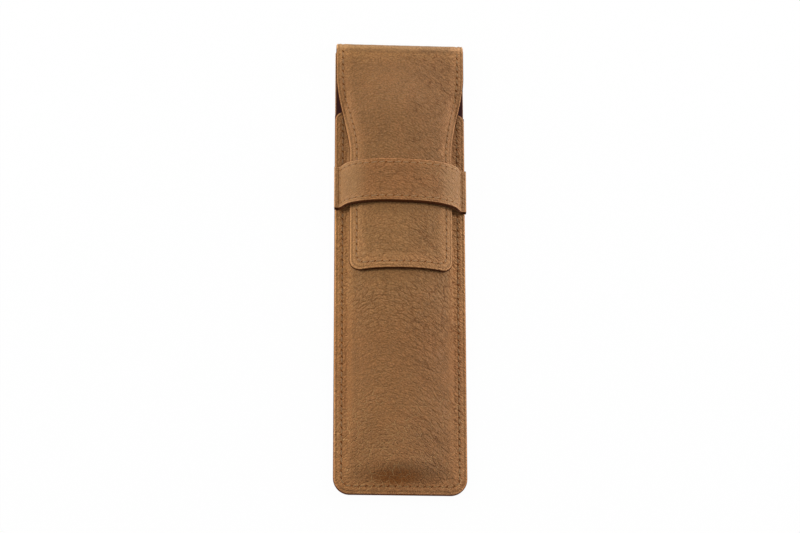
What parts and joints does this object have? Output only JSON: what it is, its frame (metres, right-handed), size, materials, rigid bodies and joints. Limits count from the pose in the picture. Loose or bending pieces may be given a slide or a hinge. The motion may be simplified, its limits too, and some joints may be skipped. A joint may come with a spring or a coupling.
{
  "type": "pen case",
  "caption": "Slim leather pen pouch: a raised lined pocket, a fold-over flap drawn in to a tongue, and a keeper strap that holds the tongue.",
  "frame": {"origin": "middle of the case on the face of the back that it lies on", "axes": "+X across the case, +Y along it towards the fold of the flap, +Z out of its front"},
  "size_m": [0.0458, 0.1606, 0.0167],
  "materials": {
    "tan_leather": "grained, satin",
    "burgundy_lining": "smooth, matte"
  },
  "bodies": {
    "case": {"back_panel_leather": "tan_leather", "back_panel_lining": "burgundy_lining", "fold_spine_leather": "tan_leather", "fold_spine_lining": "burgundy_lining", "front_panel_leather": "tan_leather", "front_panel_lining": "burgundy_lining", "strap_leather": "tan_leather", "strap_lining": "burgundy_lining"},
    "flap": {"flap_leather": "tan_leather", "flap_lining": "burgundy_lining"}
  },
  "joints": [
    {"name": "flap_fold", "type": "hinge", "parent": "case", "child": "flap", "pos_m": [0, 0.0777, 0.00255], "axis": [-1, 0, 0], "range_deg": [0, 155], "deforming": ["fold_spine_leather", "fold_spine_lining", "strap_leather", "strap_lining"]}
  ]
}
